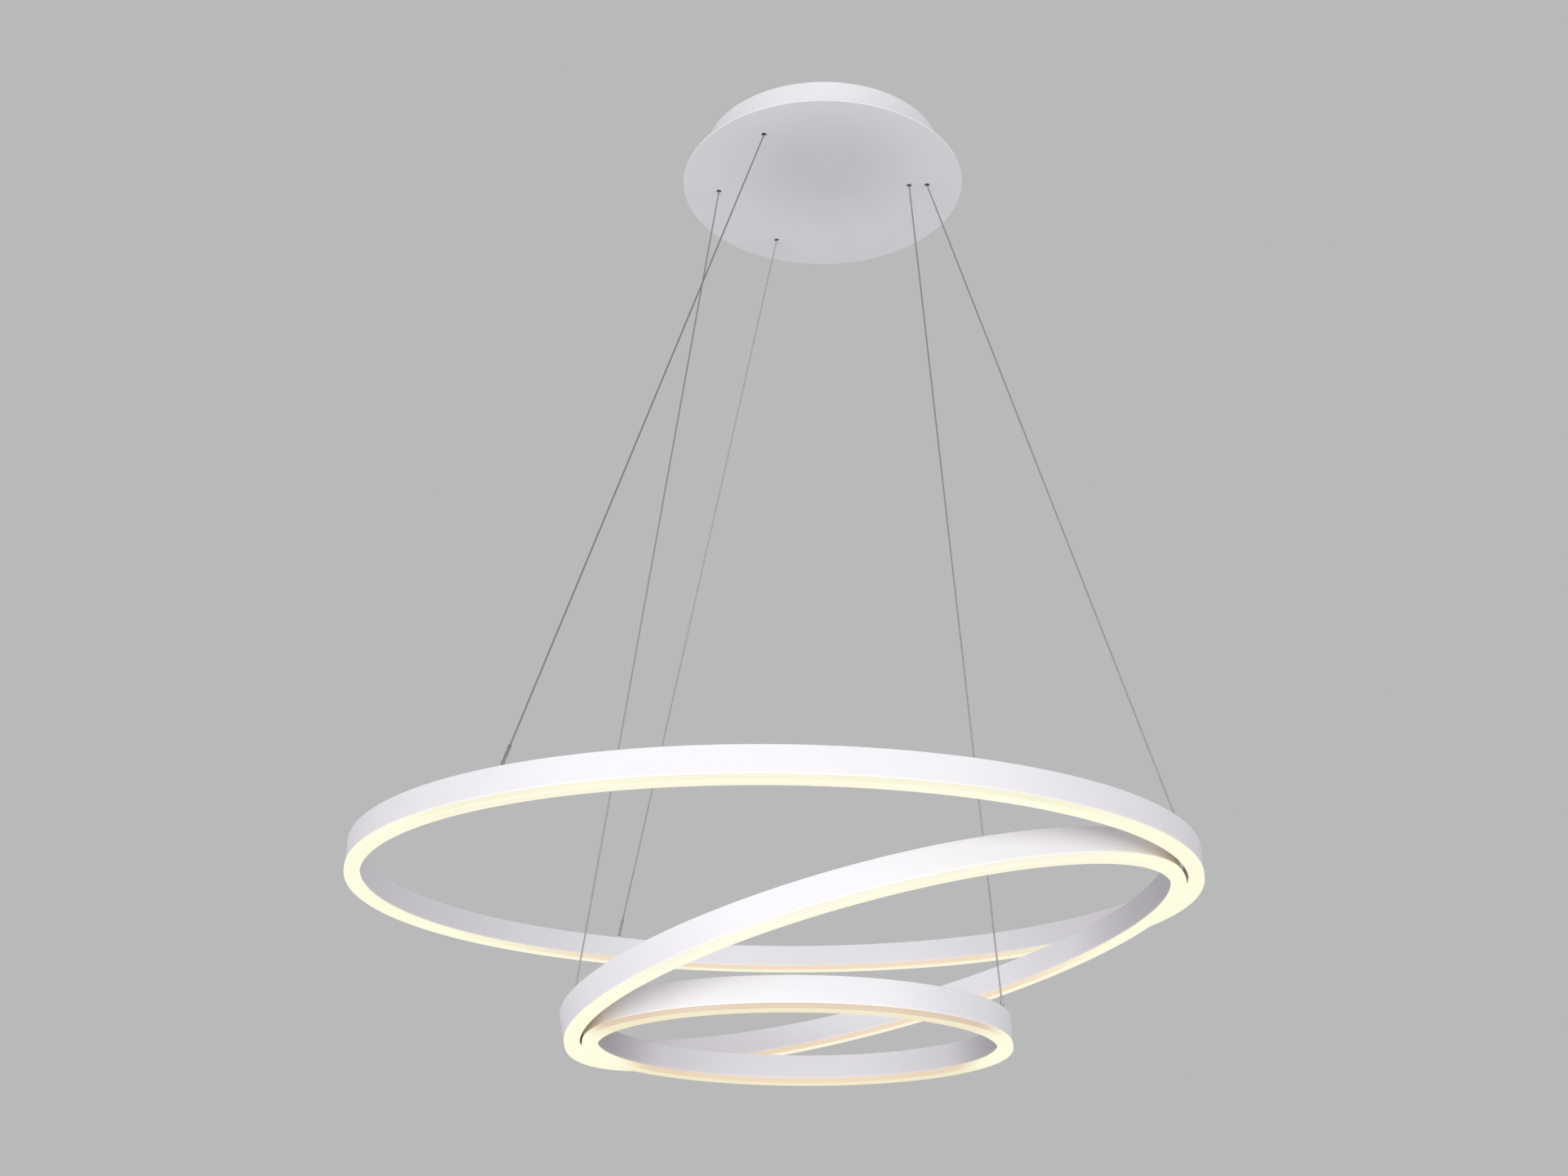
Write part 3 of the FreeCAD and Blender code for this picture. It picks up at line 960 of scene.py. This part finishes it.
drum_inner = drum_radius - drum_wall
drum_outline = rounded_outline(
    [(drum_radius, 0.0), (drum_inner, 0.0), (drum_inner, plate_top), (drum_radius, plate_top)],
    edge_round,
)
drum_mesh = turned_mesh("canopy_drum_pressed", drum_outline, canopy_segments)
drum = put_in_scene("canopy_drum_pressed", drum_mesh)
plate = put_in_scene("canopy_plate_holed", plate_with_holes("canopy_plate_holed"))
coated_parts = ((drum, "canopy_drum", drum_coat), (plate, "canopy_plate", plate_finish()))
for piece, node, finish in coated_parts:
    piece.data.materials.append(finish)
    keep_walls_flat(piece)
    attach(piece, "canopy")
    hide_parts(node)

# The two screws that hold the drum have round heads with a hollow for the key.
screw_depth = 0.012
screw_head_radius = 0.0036
screw_head_height = 0.0020
screw_shank_radius = 0.0020
screw_shank_length = 0.0069
screw_shank_root = 0.0002
screw_steps = [
    (0.00, 1.00, 0.0), (0.35, 1.00, 0.0), (0.70, 0.90, 0.0), (0.92, 0.70, 0.0),
    (1.00, 0.52, 0.0), (0.98, 0.46, 0.0), (0.45, 0.42, 0.0),
]
shank_steps = [(0.0, 0.7, 0.0), (0.15, 1.0, 0.0), (1.0, 1.0, 0.0)]
screws = ([], [])
for side in (-1, 1):
    seat = Vector((side * drum_radius, 0.0, -screw_depth))
    outward = Vector((side, 0.0, 0.0))
    tip, root = seat - outward * screw_shank_length, seat + outward * screw_shank_root
    head = seat + outward * screw_head_height
    add_turned(*screws, seat, head, screw_head_radius, screw_steps)
    add_turned(*screws, tip, root, screw_shank_radius, shank_steps)
built_piece("canopy_key_screws", *screws, nickel, "canopy", ["canopy_side_screws"])


# ---------------------------------------------------------------- ceiling bracket
# A strip of zinc-plated steel with slots for the ceiling screws and an ear bent down at each end,
# which the drum is screwed to.

zinc = metal_finish(
    "zinc_plate", "zinc_steel", bright=(0.70, 0.71, 0.73), dull=(0.52, 0.53, 0.56),
    roughness=(0.28, 0.45),
)
finish_node("ceiling_bracket", zinc)


# ---------------------------------------------------------------- driver
# The LED driver is a moulded white plastic case with a snap-on lid. It is screwed to the plate by a
# slotted ear at each end.

driver_middle = (0.0, 0.050)
driver_half = (0.070, 0.021)
driver_round = 0.003
driver_floor = plate_top
driver_joint = -0.0210
lid_top = -0.0192
ear_start = 0.0690
ear_end = 0.0800
ear_half = 0.0105
ear_top = -0.0386
slot_start = 0.0750
slot_half = 0.0018
slot_steps = 6
corner_steps = 4
# Each level of a moulded block is its height and how far its outline stands in.
case_levels = [
    (driver_floor, 0.0006), (driver_floor + 0.0002, 0.0002), (driver_floor + 0.0006, 0.0),
    (driver_joint - 0.0012, 0.0), (driver_joint - 0.0008, 0.0005), (driver_joint, 0.0005),
]
lid_levels = [
    (driver_joint, 0.0003), (driver_joint + 0.0003, 0.0), (lid_top - 0.0005, 0.0),
    (lid_top - 0.0001, 0.0002), (lid_top, 0.0006), (lid_top, 0.0020), (lid_top - 0.0004, 0.0024),
]


def add_moulded(corners, faces, middle, half, corner_round, levels):
    """A block with rounded upright edges, from its bottom level to its top one."""
    loops = []
    for height, inset in levels:
        x, y = half[0] - inset, half[1] - inset
        corner_points = [(x, -y), (x, y), (-x, y), (-x, -y)]
        outline = rounded_outline(corner_points, corner_round - inset, corner_steps)
        loops.append([(middle[0] + point[0], middle[1] + point[1], height) for point in outline])
    add_loops(corners, faces, loops)


def add_ear(corners, faces, side):
    """A flat ear with an open slot for its screw, at the driver's left (-1) or right (1) end."""
    slot_end = slot_start + slot_half
    outline = [(ear_start, -ear_half), (ear_end, -ear_half), (ear_end, -slot_half)]
    outline.append((slot_end, -slot_half))
    for step in range(1, slot_steps):
        turn = math.pi / 2 + math.pi * step / slot_steps
        outline.append((slot_end + slot_half * math.cos(turn), -slot_half * math.sin(turn)))
    outline.append((slot_end, slot_half))
    outline += [(ear_end, slot_half), (ear_end, ear_half), (ear_start, ear_half)]
    if side < 0:
        outline = [(-x, -y) for x, y in outline]
    add_loops(corners, faces, [
        [(driver_middle[0] + x, driver_middle[1] + y, height) for x, y in outline]
        for height in (driver_floor, ear_top)
    ])


white_plastic = coated_finish(
    "white_plastic", "white_plastic", light=(0.82, 0.82, 0.80), dark=(0.79, 0.79, 0.77),
    roughness=(0.38, 0.48), grain_size=1200.0, grain_depth=0.00005,
)
case, lid = ([], []), ([], [])
add_moulded(*case, driver_middle, driver_half, driver_round, case_levels)
for side in (-1, 1):
    add_ear(*case, side)
add_moulded(*lid, driver_middle, driver_half, driver_round, lid_levels)
built_piece("driver_case_moulded", *case, white_plastic, "canopy", ["driver_case"])
built_piece("driver_lid_snapped", *lid, white_plastic, "canopy", ["driver_lid"])


# ---------------------------------------------------------------- terminal block
# The supply wires meet in a three-pole block, moulded in cloudy grey plastic on a thin foot that is
# glued to the plate. Each pole has two round towers with a nickel-plated screw in each.

block_middle = (0.0, -0.048)
block_half = (0.0165, 0.0080)
block_foot = plate_top
block_foot_top = -0.0388
pole_half = (0.0045, 0.0080)
pole_pitch = 0.0110
pole_top = -0.0312
tower_reach = 0.0040
tower_radius = 0.0036
tower_bore = 0.0022
tower_top = -0.0280
block_screw_top = -0.0292
block_screw_clearance = 0.0002
block_round = 0.0015
pole_round = 0.0012
tower_height = tower_top - pole_top
# The poles reach a little into the foot, and the towers into the poles.
foot_levels = [(block_foot, 0.0), (block_foot_top - 0.0004, 0.0), (block_foot_top, 0.0004)]
pole_levels = [(block_foot_top - 0.0006, 0.0), (pole_top - 0.0005, 0.0), (pole_top, 0.0005)]
tower_root = 0.0002
# Each point of a sleeve's outline is its radius, its height and if it is six-sided there.
tower_outline = [
    (tower_radius, 0.0, False), (tower_radius, tower_height - 0.0002, False),
    (tower_radius - 0.0004, tower_height + 0.0002, False),
    (tower_bore + 0.0003, tower_height + 0.0002, False),
    (tower_bore, tower_height - 0.0001, False), (tower_bore, 0.0, False),
]


def add_sleeve(corners, faces, foot, outline, sides=turned_sides):
    """A bored piece turned on an upright axis above its foot."""
    loops = []
    for radius, height, six_sided in outline:
        loop = []
        for index in range(sides):
            turn = math.tau * index / sides
            reach = radius / math.cos(turn % (math.pi / 3) - math.pi / 6) if six_sided else radius
            x, y = foot[0] + reach * math.cos(turn), foot[1] + reach * math.sin(turn)
            loop.append((x, y, foot[2] + height))
        loops.append(loop)
    add_loops(corners, faces, loops, closed=True)


grey_plastic = coated_finish(
    "cloudy_plastic", "clear_grey_plastic", light=(0.55, 0.56, 0.56), dark=(0.47, 0.48, 0.49),
    roughness=(0.25, 0.35), grain_size=800.0, grain_depth=0.00003,
)
block, block_screws = ([], []), ([], [])
add_moulded(*block, block_middle, block_half, block_round, foot_levels)
for pole in (-1, 0, 1):
    middle = (block_middle[0] + pole * pole_pitch, block_middle[1])
    add_moulded(*block, middle, pole_half, pole_round, pole_levels)
    for way in (-1, 1):
        foot = (middle[0], middle[1] + way * tower_reach, pole_top - tower_root)
        top = Vector((*foot[:2], block_screw_top))
        add_sleeve(*block, foot, tower_outline)
        screw_radius = tower_bore - block_screw_clearance
        add_turned(*block_screws, Vector(foot), top, screw_radius, screw_steps)
built_piece("terminal_block_moulded", *block, grey_plastic, "canopy", ["terminal_block"])
built_piece("terminal_screws", *block_screws, nickel, "canopy", ["terminal_block"])


# ---------------------------------------------------------------- wire grippers
# Each wire goes up through a nickel-plated gripper, 10 mm across its six flats, that stands on the
# plate. A brass collet slides in it, and its nose shows in the plate's hole: pushed up, it lets the
# wire go.

gripper_foot = plate_top
gripper_outline = [
    (0.0046, 0.0, True), (0.0050, 0.0004, True), (0.0050, 0.0092, True), (0.0046, 0.0097, True),
    (0.0040, 0.0098, False), (0.0040, 0.0155, False), (0.0036, 0.0160, False),
    (0.0026, 0.0160, False), (0.0024, 0.0157, False), (0.0024, 0.0002, False),
    (0.0026, 0.0, False),
]
collet_foot = canopy_bottom + 0.0010
collet_outline = [
    (0.0014, 0.0, False), (0.0018, 0.0003, False), (0.0021, 0.0012, False),
    (0.0021, 0.0126, False), (0.0018, 0.0130, False), (0.0011, 0.0130, False),
    (0.0009, 0.0128, False), (0.0009, 0.0003, False), (0.0011, 0.0, False),
]
# The collets' brass is darkened to a painted shade, so that their noses show as the dark inside the
# plate's holes.
brass = metal_finish(
    "brass_painted_hole_shade", "brass", bright=(0.10, 0.08, 0.055), dull=(0.045, 0.038, 0.03),
    roughness=(0.4, 0.6), patch_size=150.0,
)

grippers = ([], [])
for label, (hole, _) in wire_ends.items():
    add_sleeve(*grippers, (*hole[:2], gripper_foot), gripper_outline)
    collet = ([], [])
    add_sleeve(*collet, (*hole[:2], collet_foot), collet_outline)
    built_piece(
        "collet_turned_" + label, *collet, brass, "collet_" + label, ["gripper_collet_" + label],
    )
built_piece("wire_grippers_hexagonal", *grippers, nickel, "canopy", ["wire_gripper_bodies"])


# ---------------------------------------------------------------- studio
# A pale floor lies far below the light. Soft lamps stand round its front, low on its left and above
# the floor, and an even surround fills the shadows. Mirrors and the camera see the surround as the
# photograph's plain grey.

floor_height = -3.2
floor_reach = 40.0
surround_grey = 0.485
fill_colour = (0.328, 0.310, 0.345)
lamp_distance = 3.2
lamp_size = 1.6
lamp_height = -0.8
# Each front lamp's direction in degrees, and its power in watts.
front_lamps = {
    "left_lamp": (-45.0, 29.2),
    "front_lamp": (0.0, 20.0),
    "right_lamp": (45.0, 30.5),
}
low_lamp_size = 0.8
low_lamp_power = 9.0
low_lamp_place = (-1.70, -2.71, -2.07)
low_lamp_target = (0.0, 0.0, -0.4)
floor_lamp_size = 2.4
floor_lamp_power = 10.2
floor_lamp_place = (0.0, 0.0, -2.9)

near, far = -floor_reach, floor_reach
floor_corners = [(near, near), (far, near), (far, far), (near, far)]
floor_points = [(x, y, floor_height) for x, y in floor_corners]
floor = put_in_scene("floor", new_mesh("floor", floor_points, [(0, 1, 2, 3)], smooth=False))
floor_finish = new_finish("pale_floor", "none", roughness=0.8)
tree = floor_finish.node_tree
speckle = place_effect(
    tree, coat_grain, object_place(tree), {"Grain Size": 40.0, "Patch Size": 0.6},
)
floor_tones = [(patch_low, (0.82, 0.82, 0.82)), (patch_high, (0.86, 0.86, 0.86))]
floor_colour = add_ramp(tree, speckle.outputs["Patches"], floor_tones)
tree.links.new(floor_colour, shader_of(floor_finish).inputs["Base Color"])
floor.data.materials.append(floor_finish)


def soft_lamp(name, size, power, place, target):
    lamp_data = bpy.data.lights.new(name, "AREA")
    lamp_data.shape = "SQUARE"
    lamp_data.size = size
    lamp_data.energy = power
    lamp = bpy.data.objects.new(name, lamp_data)
    lamp.location = place
    lamp.rotation_euler = (Vector(target) - Vector(place)).to_track_quat("-Z", "Y").to_euler()
    bpy.context.scene.collection.objects.link(lamp)


for name, (direction, power) in front_lamps.items():
    turn = math.radians(direction)
    place = (lamp_distance * math.sin(turn), -lamp_distance * math.cos(turn), lamp_height)
    soft_lamp(name, lamp_size, power, place, (0.0, 0.0, lamp_height))
soft_lamp("low_lamp", low_lamp_size, low_lamp_power, low_lamp_place, low_lamp_target)
soft_lamp("floor_lamp", floor_lamp_size, floor_lamp_power, floor_lamp_place, (0.0, 0.0, 0.0))

world = bpy.data.worlds.new("studio")
world.use_nodes = True
bpy.context.scene.world = world
tree = world.node_tree
tree.nodes.clear()
fill = add_node(tree, "ShaderNodeBackground", {}, {"Color": (*fill_colour, 1.0), "Strength": 1.0})
seen_colour = (surround_grey, surround_grey, surround_grey, 1.0)
seen = add_node(tree, "ShaderNodeBackground", {}, {"Color": seen_colour, "Strength": 1.0})
rays = tree.nodes.new("ShaderNodeLightPath").outputs
mirrored = add_math(tree, "MAXIMUM", rays["Is Camera Ray"], rays["Is Glossy Ray"])
direct = add_math(tree, "MAXIMUM", mirrored, rays["Is Transmission Ray"])
choose = tree.nodes.new("ShaderNodeMixShader")
tree.links.new(direct, choose.inputs["Fac"])
tree.links.new(fill.outputs["Background"], choose.inputs[1])
tree.links.new(seen.outputs["Background"], choose.inputs[2])
sky = tree.nodes.new("ShaderNodeOutputWorld")
tree.links.new(choose.outputs["Shader"], sky.inputs["Surface"])

bpy.context.scene.view_settings.view_transform = "Standard"
